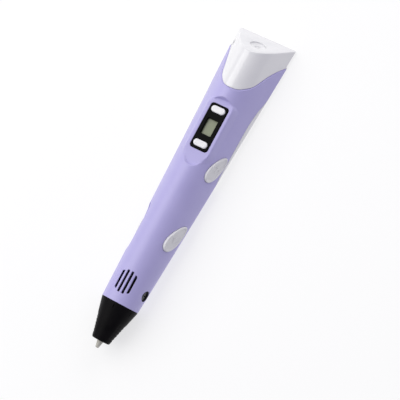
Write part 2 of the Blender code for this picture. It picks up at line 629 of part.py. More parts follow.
def make_ovals():
    for name, (x, z) in OVALS.items():
        frame = flank_frame(x, z, -1)
        origin = tuple(frame.translation)
        a, b = OVAL_RADII
        button = prism(name, ellipse(a - 0.5, b - 0.5, OVAL_LEAN, 36), (-3.6, 0.35), frame, paint=WHITE,
                       top=ellipse(a, b, OVAL_LEAN, 36), origin=origin, smooth=True)
        join(button, prism(f"{name}_crown", ellipse(a, b, OVAL_LEAN, 36), (0.3, 0.75), frame,
                           top=ellipse(a - 0.7, b - 0.7, OVAL_LEAN, 36)),
             prism(f"{name}_flange", ellipse(a - 0.4, b + 0.3, OVAL_LEAN, 28), (-4.15, -3.5), frame),
             prism(f"{name}_stem", ellipse(1.2, 1.2, 0, 12), (-4.3, -3.9), frame))
        short = name.split("_")[0]
        prism(f"{short}_switch_board", rounded(16.4, 5.2, 0.5, 1, (BOARD_POST[name] * 0.35, 0)),
              (-6.65, -6.05), frame, paint=BOARD)
        switch = prism(f"{short}_switch", rounded(4.5, 4.5, 0.3, 1), (-5.95, -5.2), frame, paint=BLACK)
        join(switch, prism(f"{short}_plunger", ellipse(0.85, 0.85, 0, 12), (-5.5, -5.0), frame))


def make_slider():
    frame = flank_frame(*SLIDER, 1)
    origin = tuple(frame.translation)
    knob = prism("speed_slider", rounded(8.6, 6.6, 1.2, 3), (-0.85, -0.3), frame, paint=WHITE, origin=origin)
    ribs = [prism(f"slider_rib_{k}", rounded(0.6, 5.4, 0.2, 1, (1.3 * (k - 2), 0)), (-0.5, 0.05), frame)
            for k in range(5)]
    join(knob, *ribs, prism("slider_stem", rounded(3.0, 1.6, 0.2, 1), (-3.2, -0.6), frame))
    cut(knob, prism("slider_socket", rounded(1.5, 0.9, 0.1, 1), (-4.0, -1.6), frame))
    prism("slider_lever", rounded(1.2, 0.6, 0.1, 1), (-5.0, -1.9), frame, paint=DARK, origin=origin)
    pot = prism("slide_potentiometer", rounded(26.0, 5.4, 0.4, 1), (-6.2, -3.5), frame, paint=STEEL)
    cut(pot, prism("lever_way", rounded(19.0, 1.2, 0.3, 1), (-5.4, -3.0), frame))


def make_jack():
    jack = box("power_jack", (170.0, 175.6), (5.6, 12.0), (2.1, 7.7), paint=BLACK)
    join(jack, rod("jack_collar", (172.8, 0, 4.9), 2.0, (11.5, 13.3), axis="Y", steps=24))
    cut(jack, rod("jack_bore", (172.8, 0, 4.9), 1.6, (7.5, 16), axis="Y", steps=18))
    join(jack, rod("jack_pin", (172.8, 0, 4.9), 0.5, (7.0, 12.4), axis="Y", steps=10))


def make_screws():
    for group, posts in (("case", CASE_POSTS), ("trim", TRIM_POSTS)):
        for number, (x, y, _) in enumerate(sides(posts), 1):
            screw = revolve(f"{group}_screw_{number}", [
                (0.85, 0), (0.85, 1.4), (1.05, 1.6), (2.1, 1.6), (2.1, 0.85), (9.6, 0.85), (9.6, 0),
            ], (x, y, 0), axis="Z", steps=12, paint=STEEL)
            cut(screw, box(f"{group}_cross_{number}", (x - 0.25, x + 0.25), (y - 1.1, y + 1.1), (0, 1.4)))


def make_leads():
    top = FRONT_R + 7.35
    for name, y, paint in (("heater_lead_1", 1.3, RED), ("heater_lead_2", -1.3, GLASS_BEAD)):
        tube(name, curve([(27.0, y, FRONT_R + 4.5), (29.6, y, top - 0.6), (34, y, top),
                          (60, y * 1.6, top), (84, y * 1.7, 16.4), (101.0, y * 1.7, 15.05)], 3),
             0.42, steps=6, paint=paint)
    for name, y, paint in (("motor_lead_1", 1.0, RED), ("motor_lead_2", -1.0, BLACK)):
        tube(name, curve([(135.3, WORM_Y + y, WORM_Z), (136.8, WORM_Y + y, 7.4), (137.8, WORM_Y + y, 10.0),
                          (139.8, 3.6 + y * 0.8, 13.25)], 3), 0.42, steps=6, paint=paint)
    for name, y, z, paint in (("power_lead_1", 5.1, 6.2, RED), ("power_lead_2", 5.1, 3.6, BLACK)):
        side = 1.0 if z > 5 else -1.0
        tube(name, curve([(172.0, y - 0.2, z), (169.0, 5.3, z), (165.0, 6.8, z * 0.5 + 2.6),
                          (158.0, 7.2 + side, 6.5 + side), (150.0, 4.6 + side, 12.0),
                          (144.7, 2.6 + side, 14.1)], 3), 0.42, steps=6, paint=paint)


clear()
PEN = collection("three_d_pen")
CUTTERS = collection("cutters")
LAVENDER = material("lavender satin plastic", (0.52, 0.46, 0.78), 0.42)
WHITE = material("white gloss plastic", (0.86, 0.86, 0.87), 0.2)
BLACK = material("black plastic", (0.012, 0.012, 0.014), 0.5)
GLOSS_BLACK = material("black gloss plastic", (0.006, 0.006, 0.007), 0.15)
DARK = material("grey glass filled nylon", (0.07, 0.07, 0.075), 0.6)
CERAMIC = material("unglazed ceramic", (0.6, 0.56, 0.5), 0.45)
BRASS = material("brass", (0.72, 0.5, 0.2), 0.3, 1.0)
STEEL = material("steel", (0.56, 0.57, 0.58), 0.3, 1.0)
ALUMINIUM = material("aluminium", (0.75, 0.76, 0.77), 0.35, 1.0)
PTFE = material("white guide tube", (0.8, 0.8, 0.78), 0.35)
LCD_GREEN = material("liquid crystal glass", (0.27, 0.3, 0.2), 0.15)
BOARD = material("circuit board", (0.02, 0.16, 0.06), 0.4)
RED = material("red insulation", (0.5, 0.02, 0.02), 0.4)
GLASS_BEAD = material("amber insulation", (0.5, 0.25, 0.03), 0.3)

make_front_shell()
make_back_shell()
make_rear_trim()
make_end_cap()
make_nose()
make_feeder()
make_drive()
make_guides()
make_display()
make_boards()
make_ovals()
make_slider()
make_jack()
make_screws()
make_leads()
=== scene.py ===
"""Looks of the three d pen: fine skins, openings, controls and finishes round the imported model."""

import json
import math

import bmesh
import bpy
from mathutils import Matrix, Vector
from mathutils.bvhtree import BVHTree
from mathutils.interpolate import poly_3d_calc


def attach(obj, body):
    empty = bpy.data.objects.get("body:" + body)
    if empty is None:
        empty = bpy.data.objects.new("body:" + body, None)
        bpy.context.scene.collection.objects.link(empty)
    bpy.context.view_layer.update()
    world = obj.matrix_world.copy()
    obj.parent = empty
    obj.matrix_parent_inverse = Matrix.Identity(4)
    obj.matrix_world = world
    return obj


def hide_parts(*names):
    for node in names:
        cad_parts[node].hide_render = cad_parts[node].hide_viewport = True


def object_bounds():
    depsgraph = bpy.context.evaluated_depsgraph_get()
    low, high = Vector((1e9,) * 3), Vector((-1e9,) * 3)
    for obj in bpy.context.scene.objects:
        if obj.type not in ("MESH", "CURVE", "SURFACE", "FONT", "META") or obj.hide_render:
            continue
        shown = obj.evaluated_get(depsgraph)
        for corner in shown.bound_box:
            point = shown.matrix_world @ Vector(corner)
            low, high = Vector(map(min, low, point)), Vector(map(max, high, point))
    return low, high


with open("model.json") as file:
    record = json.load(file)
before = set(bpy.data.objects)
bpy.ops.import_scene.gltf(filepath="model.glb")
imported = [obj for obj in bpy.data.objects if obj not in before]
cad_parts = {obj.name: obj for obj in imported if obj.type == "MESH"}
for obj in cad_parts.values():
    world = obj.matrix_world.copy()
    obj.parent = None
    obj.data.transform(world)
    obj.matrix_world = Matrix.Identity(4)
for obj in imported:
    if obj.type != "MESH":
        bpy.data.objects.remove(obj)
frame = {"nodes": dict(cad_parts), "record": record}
CAD_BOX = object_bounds()

MM = 0.001

# Driving dimensions, in millimetres: x runs from the nozzle's tip to the tail, and z up from the flat back.
LENGTH = 184.0
GRIP_END = 24.6
FRONT_R = 10.1  # the round section at the grip
TAIL_DEPTH = 21.0
TAIL_HALF_WIDTH = 17.2
TAIL_CORNER_Z = 1.3
TAIL_NOSE_Y = 7.66  # the curve handle beside the tail section's top
TAIL_FLANK = (13.75, 7.52)  # the curve handle over the tail section's corner
ARC = 0.5523  # the handle length that makes a cubic curve a quarter circle
WALL = 1.6
GAP = 0.15  # between one shell part and the next
HAIR = 0.04  # half the narrow seam between the back shell and the trim
TAIL_SLOPE = 0.767  # how far the tail face runs back for each millimetre up
TAIL_FOOT = 184.3
CAP_INSET = 0.4  # the cap's skin stays this far inside the shell's
CAP_WALL = 1.8
HALF_WIDTH = CAD_BOX[1][1] / MM - 0.005
CAP_EDGE = [  # (x, z) from the display side down to the back
    (146.6, 22.5), (146.7, 20.8), (147.7, 19.2), (150.1, 17.0), (153.2, 14.4), (157.0, 12.4),
    (161.8, 10.0), (166.0, 7.3), (169.2, 4.8), (172.2, 2.1), (174.2, 0.0), (175.2, -2.0),
]
SEAM = [(24.0, 3.6), (97.0, 2.4)]
BACK_SEAM = [(20.0, 3.67), (97.0, 2.4), (100.0, 2.35)]
TRIM_EDGE = [
    (98.0, 2.6), (99.2, 3.5), (101.0, 4.7), (104.0, 5.5), (110.0, 5.8), (120.0, 5.9), (131.0, 5.85),
    (137.5, 5.6), (144.5, 4.6), (150.0, 3.1), (156.0, 1.9), (165.0, 1.4), (178.0, 1.3),
]
TRIM_START = 98.0
PAD_Z = 19.0  # the flat tongue round the display
PAD_START, PAD_STRAIGHT, PAD_END, PAD_HALF = 102.8, 112.0, 139.7, 6.5
PAD_REACH, PAD_SIDE = (97.0, 146.0), 11.0  # the tongue's blends end inside these x and this y
PAD_DIP = (136.7, 2.6, 0.3)  # start, length and depth of the dip at the tongue's tail end
VENT = (35.65, 2.4, 0.62)  # middle, pitch and half width of the slots
THIN_SKIN = 0.85  # the shell's thickness at the vent
BEZEL = (123.9, 25.4, 9.9)  # middle, length and width
BEZEL_TOP = 19.3
LCD_OPENING = (8.7, 5.6)
PILLS = {"lower_button": 114.3, "upper_button": 133.7}
PILL_SIZE = (3.55, 7.7)
OVALS = {"feed_button": (66.2, 12.9), "retract_button": (107.0, 11.1)}  # (x, z) on the right flank
OVAL_RADII = (8.6, 4.0)
OVAL_LEAN = math.radians(-24)
SLIDER = (63.8, 10.4)  # (x, z) on the left flank
TRACK = (27.5, 9.0)
TRACK_DEPTH = 1.1
SLOT = (19.5, 2.2)
SIDE_SCREW = (33.6, 11.0)  # (x, z) on the right flank
SCREW_AXIS = (SIDE_SCREW[0], 0, SIDE_SCREW[1])
JACK_AXIS = (172.8, 0, 4.9)
PORT_Z = 11.5
PORT_R = 4.3
POSTS = {
    "case": [(45.5, -4.6), (45.5, 4.6), (78.9, -6.6), (78.9, 6.6)],
    "trim": [(146.0, -8.5), (146.0, 8.5)],
}
UPPER, LOWER = 72, 16  # points of half a section over and under its corner
RINGS = ([GRIP_END + 2.04 * k for k in range(36)] + [98.0 + 0.4 * k for k in range(98)]
         + [137.2 + 0.2 * k for k in range(30)] + [143.2 + 0.4 * k for k in range(7)]
         + [146.0 + 2.0 * k for k in range(17)])  # closer where the tongue rises and ends


# ---------------------------------------------------------------- meshes, built in millimetres

def at(p):
    """A point of the driving dimensions in the frame's metres: the frame's origin is at half length."""
    return Vector(((p[0] - LENGTH / 2) * MM, p[1] * MM, p[2] * MM))


def solid(name, points, faces):
    """A closed mesh with its faces turned outwards."""
    mesh = bpy.data.meshes.new(name)
    mesh.from_pydata([at(p) for p in points], [], faces)
    bm = bmesh.new()
    bm.from_mesh(mesh)
    bmesh.ops.recalc_face_normals(bm, faces=bm.faces)
    if bm.calc_volume(signed=True) < 0:
        bmesh.ops.reverse_faces(bm, faces=bm.faces)
    bm.to_mesh(mesh)
    bm.free()
    obj = bpy.data.objects.new(name, mesh)
    bpy.context.scene.collection.objects.link(obj)
    return obj


def settle(obj):
    """Turns the modifiers into mesh."""
    graph = bpy.context.evaluated_depsgraph_get()
    mesh = bpy.data.meshes.new_from_object(obj.evaluated_get(graph))
    obj.modifiers.clear()
    old, obj.data = obj.data, mesh
    bpy.data.meshes.remove(old)
    mesh.name = obj.name
    return obj


def combine(obj, operation, *others):
    """Applies one boolean after another, and removes the other solids."""
    for other in others:
        step = obj.modifiers.new("combine", "BOOLEAN")
        step.solver = "EXACT"
        step.operation = operation
        step.object = other
        weld = obj.modifiers.new("weld", "WELD")
        weld.merge_threshold = 0.002 * MM
    settle(obj)
    for other in others:
        bpy.data.objects.remove(other)
    return obj


def cut(obj, *others):
    return combine(obj, "DIFFERENCE", *others)


def join(obj, *others):
    return combine(obj, "UNION", *others)


def side_faces(count, steps):
    """The faces between rings of count points, one band for each step."""
    return [
        (i * count + j, i * count + (j + 1) % count, (i + 1) * count + (j + 1) % count, (i + 1) * count + j)
        for i in range(steps)
        for j in range(count)
    ]


def loft(name, rings):
    """A solid through rings that all have the same number of points, with flat ends."""
    count, steps = len(rings[0]), len(rings) - 1
    points = [p for ring in rings for p in ring]
    ends = [tuple(range(count)), tuple(steps * count + j for j in range(count))]
    return solid(name, points, side_faces(count, steps) + ends)


def box(name, x, y, z):
    ring = [(y[0], z[0]), (y[1], z[0]), (y[1], z[1]), (y[0], z[1])]
    return loft(name, [[(x[0], a, b) for a, b in ring], [(x[1], a, b) for a, b in ring]])


def stack(name, layers, place=None):
    """Outlines of (a, b) points at heights in the plane of place, joined into one solid."""
    place = place or Matrix.Identity(4)
    rings = [[tuple(place @ Vector((a, b, height))) for a, b in outline] for outline, height in layers]
    return loft(name, rings)


def side_prism(name, outline):
    """A cutter with an outline of (x, z) points, through the body from flank to flank."""
    return loft(name, [[(a, y, b) for a, b in outline] for y in (-30.0, 30.0)])


def revolve(name, profile, centre, axis="X", steps=64, bumps=None):
    """A closed profile of (along, radius) turned round an axis. bumps(along, radius, angle) adds to it."""
    points, rows = [], []
    for along, radius in profile:
        turns = steps if radius > 1e-6 else 1
        rows.append([len(points) + k for k in range(turns)])
        for k in range(turns):
            a = math.tau * k / steps
            r = radius + (bumps(along, radius, a) if bumps else 0.0)
            across = (r * math.cos(a), r * math.sin(a))
            offset = {"X": (along, *across), "Y": (across[1], along, across[0]), "Z": (*across, along)}[axis]
            points.append(tuple(c + d for c, d in zip(centre, offset)))
    faces = []
    for first, second in zip(rows, rows[1:] + rows[:1]):
        if len(first) == len(second) == 1:
            continue
        for k in range(steps):
            n = (k + 1) % steps
            corners = [first[k % len(first)], first[n % len(first)],
                       second[n % len(second)], second[k % len(second)]]
            faces.append(tuple(dict.fromkeys(corners)))
    return solid(name, points, faces)


def rod(name, centre, radius, span, axis="Z", steps=32):
    start, end = span
    return revolve(name, [(start, 0), (start, radius), (end, radius), (end, 0)], centre, axis, steps)


def smooth_line(points, steps=6):
    """A curve that passes through every point, with the given steps between two of them."""
    points = [Vector(p) for p in points]
    path = []
    for i in range(len(points) - 1):
        before, a, b = points[max(i - 1, 0)], points[i], points[i + 1]
        after = points[min(i + 2, len(points) - 1)]
        for k in range(steps):
            t = k / steps
            path.append(0.5 * (2 * a + (b - before) * t + (2 * before - 5 * a + 4 * b - after) * t * t
                               + (3 * a - before - 3 * b + after) * t ** 3))
    return [tuple(p) for p in path + [points[-1]]]


def rounded(length, width, radius, steps=8, centre=(0.0, 0.0)):
    """A rectangle with rounded corners."""
    outline = []
    for turn, sx, sy in ((0, 1, 1), (1, -1, 1), (2, -1, -1), (3, 1, -1)):
        cx, cy = sx * (length / 2 - radius), sy * (width / 2 - radius)
        for k in range(steps + 1):
            a = (turn + k / steps) * math.pi / 2
            outline.append((centre[0] + cx + radius * math.cos(a), centre[1] + cy + radius * math.sin(a)))
    return outline


def circle(radius, steps=48):
    return [(radius * math.cos(math.tau * k / steps), radius * math.sin(math.tau * k / steps))
            for k in range(steps)]


def leaf(grow=0.0, steps=72):
    """The outline of an oval button: fuller at the nozzle end and narrower at the tail end."""
    turn = Matrix.Rotation(OVAL_LEAN, 2)
    a, b = OVAL_RADII[0] + grow, OVAL_RADII[1] * 0.97 + grow
    return [tuple(turn @ Vector((a * math.cos(t), b * math.sin(t) * (1 - 0.2 * math.cos(t)))))
            for t in (math.tau * k / steps for k in range(steps))]


# ---------------------------------------------------------------- body skin

def bezier(p0, p1, p2, p3, steps):
    path = []
    for k in range(steps + 1):
        t = k / steps
        r = 1 - t
        path.append(r ** 3 * p0 + 3 * r ** 2 * t * p1 + 3 * r * t * t * p2 + t ** 3 * p3)
    return path


def half_section(x, inset=0.0):
    """(y, z) from the top to the edge of the flat back: a circle at the grip, a rounded triangle at the tail.

    The factors beside inset move each curve handle so that the inner section keeps its distance all round.
    """
    u = (x - GRIP_END) / (LENGTH - GRIP_END)

    def mix(front, tail):
        return front + (tail - front) * u

    top = mix(2 * FRONT_R, TAIL_DEPTH) - inset
    nose = Vector((0.0, top))
    shoulder = Vector((mix(ARC * FRONT_R, TAIL_NOSE_Y) - inset * mix(ARC, 0.35), top))
    flank = Vector((mix(FRONT_R, TAIL_FLANK[0]) - inset * mix(1.0, 0.87),
                    mix(FRONT_R * (1 + ARC), TAIL_FLANK[1]) - inset * mix(ARC, 0.49)))
    corner = Vector((mix(FRONT_R, TAIL_HALF_WIDTH) - inset * mix(1.0, 1.25),
                     mix(FRONT_R, TAIL_CORNER_Z) + inset * mix(0.0, 0.5)))
    drop = corner.y - inset
    flat = max(0.3, corner.x - drop)
    below = corner + (corner - flank).normalized() * ARC * drop
    inner = Vector((flat + ARC * (corner.x - flat), inset))
    return (bezier(nose, shoulder, flank, corner, UPPER)
            + bezier(corner, below, inner, Vector((flat, inset)), LOWER)[1:])


def blend_low(a, b, reach):
    """The lower of two values, rounded where they are closer than reach."""
    if reach < 1e-6:
        return min(a, b)
    near = max(reach - abs(a - b), 0.0) / reach
    return min(a, b) - near * near * reach / 4


def blend_high(a, b, reach):
    return -blend_low(-a, -b, reach)


def tongue(x, y, z):
    """The height of the skin with the flat tongue round the display: z where the tongue doesn't reach."""
    if not PAD_REACH[0] < x < PAD_REACH[1] or abs(y) > PAD_SIDE:
        return z
    if x < PAD_STRAIGHT:
        ahead = Vector(((PAD_STRAIGHT - x) / (PAD_STRAIGHT - PAD_START - 0.6), y / PAD_HALF))
        out = Vector((PAD_STRAIGHT - x, y)).length * (1 - 1 / max(ahead.length, 1e-6))
        side, end = out, -9.0
        climb = 1.5
    else:
        side = abs(y) - PAD_HALF
        end = x - PAD_END + 0.1 + 1.7 * (y / PAD_HALF) ** 2
        climb = 2.6
    dip_start, dip_length, dip_depth = PAD_DIP
    dip = min(1.0, max(0.0, (x - dip_start) / dip_length))
    flat = PAD_Z - dip_depth * dip * dip * (3 - 2 * dip)
    out = blend_high(side, end, 2.0)
    if out <= 0.0:
        return flat
    soft = math.sqrt(out * out + 0.16) - 0.4  # a rounded foot for the slopes
    low, high = flat - 1.45 * soft - 0.4 * soft * soft, flat + climb * soft
    return blend_low(blend_high(z, low, min(1.3, high - low)), high, min(0.4, high - low))


def ring(x, inset=0.0):
    """The whole section at x. The outer one has the tongue, and the wall's inner one stays clear of it."""
    half = half_section(x, inset)
    if inset == 0.0:
        half = [Vector((p.x, tongue(x, p.x, p.y))) if k <= UPPER else p for k, p in enumerate(half)]
    elif inset == WALL and PAD_REACH[0] < x < PAD_REACH[1]:
        outer = half_section(x)[:UPPER + 1]
        for k, p in enumerate(half[:UPPER]):
            if p.x < 9.0:
                near = min(range(1, UPPER), key=lambda j: abs(outer[j].x - p.x))
                half[k] = Vector((p.x, min(p.y, tongue(x, p.x, outer[near].y) - 1.5)))
    half = [Vector((min(p.x, HALF_WIDTH), p.y)) for p in half]
    return [(x, -p.x, p.y) for p in half] + [(x, p.x, p.y) for p in half[:0:-1]]


def body(name, start, end, inset=0.0, steps=24):
    return loft(name, [ring(start + (end - start) * k / steps, inset) for k in range(steps + 1)])


def surface_point(x, z, side):
    """The point of the flank nearest to the height z, with its neighbours in the section."""
    half = half_section(x)[:UPPER + 1]
    near = min(range(1, UPPER), key=lambda k: abs(half[k].y - z))
    return Vector((x, side * half[near].x, half[near].y)), half[near - 1], half[near + 1]


def flank_place(x, z, side):
    """A place on the flank: its X runs to the tail, and its Z out of the flank."""
    point, above, below = surface_point(x, z, side)
    ahead = surface_point(x + 4, z, side)[0]
    up = Vector((0, side * (above.x - below.x), above.y - below.y)).normalized()
    along = (ahead - point).normalized()
    out = along.cross(up).normalized() * -side
    along = (along - out * along.dot(out)).normalized()
    up = out.cross(along)
    place = Matrix((along, up, out)).transposed().to_4x4()
    place.translation = point
    return place


class Skin:
    """The uncut outside of the body. Cut pieces take their smooth shading from it."""

    def __init__(self, inset):
        rings = [ring(x, inset) for x in [20.0, 22.0] + RINGS + [180.0, 184.0, 188.0]]
        self.points = [Vector(p) for one in rings for p in one]
        self.faces = side_faces(len(rings[0]), len(rings) - 1)
        self.tree = BVHTree.FromPolygons(self.points, self.faces)
        self.normals = [Vector() for _ in self.points]
        for face in self.faces:
            a, b, c, d = (self.points[i] for i in face)
            normal = (c - a).cross(d - b)
            for i in face:
                self.normals[i] += normal
        middle = Vector((0, 0, 9.0))
        for i, normal in enumerate(self.normals):
            normal.normalize()
            if normal.dot(self.points[i] - Vector((self.points[i].x, *middle.yz))) < 0:
                normal.negate()

    def drape(self, place, outline, lift):
        """The outline laid on the skin along the place's Z, and lifted from it."""
        down = -(place.to_3x3() @ Vector((0, 0, 1)))
        laid = []
        for a, b in outline:
            start = place @ Vector((a, b, 9.0))
            hit = self.tree.ray_cast(start, down)[0]
            laid.append(tuple((hit if hit else place @ Vector((a, b, 0))) - down * lift))
        return laid

    def shade(self, mesh):
        """Gives the mesh this skin's normals where it lies on the skin."""
        normals = [corner.vector.copy() for corner in mesh.corner_normals]
        for face in mesh.polygons:
            for corner in face.loop_indices:
                co = mesh.vertices[mesh.loops[corner].vertex_index].co
                spot = Vector((co.x / MM + LENGTH / 2, co.y / MM, co.z / MM))
                near, facing, index, distance = self.tree.find_nearest(spot)
                if distance > 0.02 or abs(facing.dot(face.normal)) < 0.9:
                    continue
                corners = self.faces[index]
                weights = poly_3d_calc([self.points[i] for i in corners], near)
                normal = sum((self.normals[i] * w for i, w in zip(corners, weights)), Vector()).normalized()
                if normal.dot(face.normal) > 0:
                    normals[corner] = normal
        mesh.normals_split_custom_set(normals)


SKIN = Skin(0.0)
CAP_SKIN = Skin(CAP_INSET)


def mouth(name, place, outline, depth, edge):
    """A cutter for an opening in the skin with a rounded edge. outline(grow) gives its points."""
    layers = [[tuple(place @ Vector((a, b, -depth))) for a, b in outline(0.0)]]
    for drop, grow in ((1.0, 0.0), (0.45, 0.13), (0.12, 0.5), (-0.05, 1.1), (-1.2, 1.5)):
        layers.append(SKIN.drape(place, outline(edge * grow), -edge * drop))
    layers.append([tuple(place @ Vector((a, b, 8.0))) for a, b in outline(edge * 1.5)])
    return loft(name, layers)


def edge_x(line, z):
    """Where a line of (x, z) points is at the height z."""
    for (xa, za), (xb, zb) in zip(line, line[1:]):
        if min(za, zb) <= z <= max(za, zb) and za != zb:
            return xa + (xb - xa) * (z - za) / (zb - za)
    return line[0][0] if z > line[0][1] else line[-1][0]


def lip(name, line, radius, gap):
    """A cutter that rounds the outer edge of a shell along a line of (x, z) points, from flank to flank."""
    last = UPPER + 9
    spots = []
    for k in range(-last, last + 1):
        x = 160.0
        for _ in range(12):
            x = 0.5 * x + 0.5 * edge_x(line, half_section(x)[abs(k)].y)
        p = half_section(x)[abs(k)]
        spots.append(Vector((x, math.copysign(p.x, k), p.y)))
    rings = []
    for i, spot in enumerate(spots):
        along = (spots[min(i + 1, len(spots) - 1)] - spots[max(i - 1, 0)]).normalized()
        out = SKIN.tree.find_nearest(spot)[1]
        if out.dot(Vector((0, spot.y, spot.z - 9.0))) < 0:
            out = -out
        away = along.cross(out).normalized()
        if away.x > 0:
            away = -away
        shape = [(-1.0, -radius), (gap - 0.01, -radius)]
        for n in range(1, 7):
            a = math.pi / 2 * n / 6
            shape.append((gap + radius * (1 - math.cos(a)), -radius * (1 - math.sin(a))))
        shape += [(gap + radius + 0.05, 0.02), (gap + radius + 0.05, 0.9), (-1.0, 0.9)]
        rings.append([tuple(spot + away * u + out * v) for u, v in shape])
    return loft(name, rings)


# ---------------------------------------------------------------- finishes

def finish(name, colour, shade, roughness, patch, metallic=0.0, grain=0.25, depth=0.02, coat=0.0,
           edge=0.25, spread=0.06, specular=0.5):
    """A moulded or machined surface: two close tones in soft patches, fine grain, and softened edges.

    patch and grain are sizes, depth is the grain's height and edge the softened radius, all in millimetres.
    """
    made = bpy.data.materials.new(name)
    made.use_nodes = True
    tree = made.node_tree
    shader = tree.nodes["Principled BSDF"]
    link = tree.links.new

    def node(kind, **values):
        added = tree.nodes.new(kind)
        for key, value in values.items():
            added.inputs[key].default_value = value
        return added

    where = tree.nodes.new("ShaderNodeTexCoord")
    patches = node("ShaderNodeTexNoise", Scale=1000.0 / patch, Detail=4.0, Roughness=0.55)
    link(where.outputs["Object"], patches.inputs["Vector"])
    tones = tree.nodes.new("ShaderNodeValToRGB")
    tones.color_ramp.elements[0].position = 0.3
    tones.color_ramp.elements[1].position = 0.7
    tones.color_ramp.elements[0].color = (*shade, 1.0)
    tones.color_ramp.elements[1].color = (*colour, 1.0)
    link(patches.outputs["Fac"], tones.inputs["Fac"])
    link(tones.outputs["Color"], shader.inputs["Base Color"])

    grains = node("ShaderNodeTexNoise", Scale=1000.0 / grain, Detail=2.0, Roughness=0.6)
    link(where.outputs["Object"], grains.inputs["Vector"])
    sheen = node("ShaderNodeMapRange", **{"To Min": roughness - spread, "To Max": roughness + spread})
    link(patches.outputs["Fac"], sheen.inputs["Value"])
    link(sheen.outputs["Result"], shader.inputs["Roughness"])

    soft = node("ShaderNodeBevel", Radius=edge * MM)
    soft.samples = 6
    bump = node("ShaderNodeBump", Strength=1.0, Distance=depth * MM)
    link(grains.outputs["Fac"], bump.inputs["Height"])
    link(soft.outputs["Normal"], bump.inputs["Normal"])
    link(bump.outputs["Normal"], shader.inputs["Normal"])

    shader.inputs["Metallic"].default_value = metallic
    shader.inputs["Specular IOR Level"].default_value = specular
    shader.inputs["Coat Weight"].default_value = coat
    shader.inputs["Coat Roughness"].default_value = 0.08
    return made


FINISHES = {
    "lavender_plastic": finish("lavender satin plastic", (0.495, 0.462, 0.785), (0.47, 0.437, 0.76), 0.40,
                               patch=14.0, depth=0.006, grain=0.35),
    "white_plastic": finish("white gloss plastic", (0.86, 0.86, 0.875), (0.83, 0.83, 0.85), 0.16,
                            patch=12.0, depth=0.0015, grain=0.6, coat=0.4, edge=0.35, spread=0.03),
    "button_plastic": finish("white button plastic", (0.80, 0.80, 0.81), (0.76, 0.76, 0.775), 0.3,
                             patch=5.0, depth=0.003, grain=0.4, edge=0.2),
    "black_plastic": finish("black satin plastic", (0.0045, 0.004, 0.0045), (0.0022, 0.002, 0.0025), 0.45,
                            patch=6.0, depth=0.012, grain=0.3, edge=0.3, specular=0.07),
    "gloss_black_plastic": finish("black gloss plastic", (0.0018, 0.0018, 0.0022), (0.0012, 0.0012, 0.0016),
                                  0.2, patch=4.0, depth=0.001, grain=0.5, spread=0.05, specular=0.05),
    # grey_nylon is set near black: partly the nylon's own dark colour, partly painted shade for the inside
    # seen through the vent slots.
    "grey_nylon": finish("glass filled nylon with painted shade", (0.012, 0.012, 0.014), (0.008, 0.008, 0.009), 0.65,
                         patch=2.0, grain=0.15, specular=0.15),
    "ceramic": finish("unglazed ceramic", (0.61, 0.6, 0.53), (0.52, 0.51, 0.45), 0.4,
                      patch=1.5, depth=0.01, grain=0.12, edge=0.15),
    "brass": finish("brass", (0.72, 0.5, 0.2), (0.6, 0.4, 0.15), 0.3, patch=3.0, metallic=1.0, depth=0.004),
    "steel": finish("bright steel", (0.56, 0.57, 0.58), (0.46, 0.47, 0.48), 0.28,
                    patch=2.0, metallic=1.0, depth=0.003, edge=0.1),
    "aluminium": finish("turned aluminium", (0.75, 0.76, 0.77), (0.66, 0.67, 0.68), 0.35,
                        patch=3.0, metallic=1.0, depth=0.004),
    "guide_tube": finish("slick guide tube", (0.82, 0.82, 0.8), (0.76, 0.76, 0.74), 0.3, patch=4.0),
    "lcd_glass": finish("liquid crystal display", (0.235, 0.26, 0.165), (0.21, 0.235, 0.145), 0.22,
                        patch=3.0, depth=0.0005, grain=0.3, coat=0.1, spread=0.03),
    "circuit_board": finish("solder mask", (0.02, 0.17, 0.06), (0.012, 0.12, 0.04), 0.35,
                            patch=1.5, coat=0.3),
    # red_insulation is set far darker than red insulation is: painted shade for the leads seen through the
    # vent slots.
    "red_insulation": finish("red insulation", (0.035, 0.003, 0.003), (0.025, 0.002, 0.002), 0.6,
                             patch=2.0, specular=0.1),
    "black_insulation": finish("black insulation", (0.02, 0.02, 0.02), (0.012, 0.012, 0.012), 0.4, patch=2.0),
    # amber_insulation is set far darker than amber insulation is: painted shade for the inside seen through
    # the vent slots.
    "amber_insulation": finish("amber insulation", (0.05, 0.028, 0.01), (0.04, 0.022, 0.008), 0.5,
                               patch=1.0, specular=0.15),
}
DARK_STEEL = finish("blackened steel", (0.05, 0.05, 0.055), (0.03, 0.03, 0.033), 0.32,
                    patch=1.5, metallic=0.8, depth=0.004, edge=0.12)


def put(obj, body_name, slot, *nodes, skin=None, material=None, angle=32):
    """Shades a finished piece, gives it its material and sets it on its body in place of its nodes."""
    mesh = obj.data
    mesh.polygons.foreach_set("use_smooth", [True] * len(mesh.polygons))
    mesh.set_sharp_from_angle(angle=math.radians(angle))
    if skin:
        skin.shade(mesh)
    else:
        even = obj.modifiers.new("even", "WEIGHTED_NORMAL")
        even.keep_sharp = True
        even.weight = 90
    mesh.materials.clear()
    mesh.materials.append(material or FINISHES[slot])
    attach(obj, body_name)
    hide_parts(*nodes)


# ---------------------------------------------------------------- shells

CAP_LINE = smooth_line(CAP_EDGE)
TRIM_LINE = smooth_line(TRIM_EDGE)


def past_line(name, line, lift, far):
    """A cutter from a line of (x, z) points, lifted by a little, to a level far above or below the body."""
    return side_prism(name, [(x, z + lift) for x, z in line] + [(line[-1][0], far), (line[0][0], far)])


def above(name, line, lift):
    return past_line(name, line, lift, 40.0)


def below(name, line, lift):
    return past_line(name, line, lift, -20.0)


def beside_cap(name, shift, far):
    """A cutter from the cap's edge, shifted along X, to an x far ahead of the edge or behind it."""
    return side_prism(name, [(x + shift, z) for x, z in CAP_LINE] + [(far, -2), (far, 22.5)])


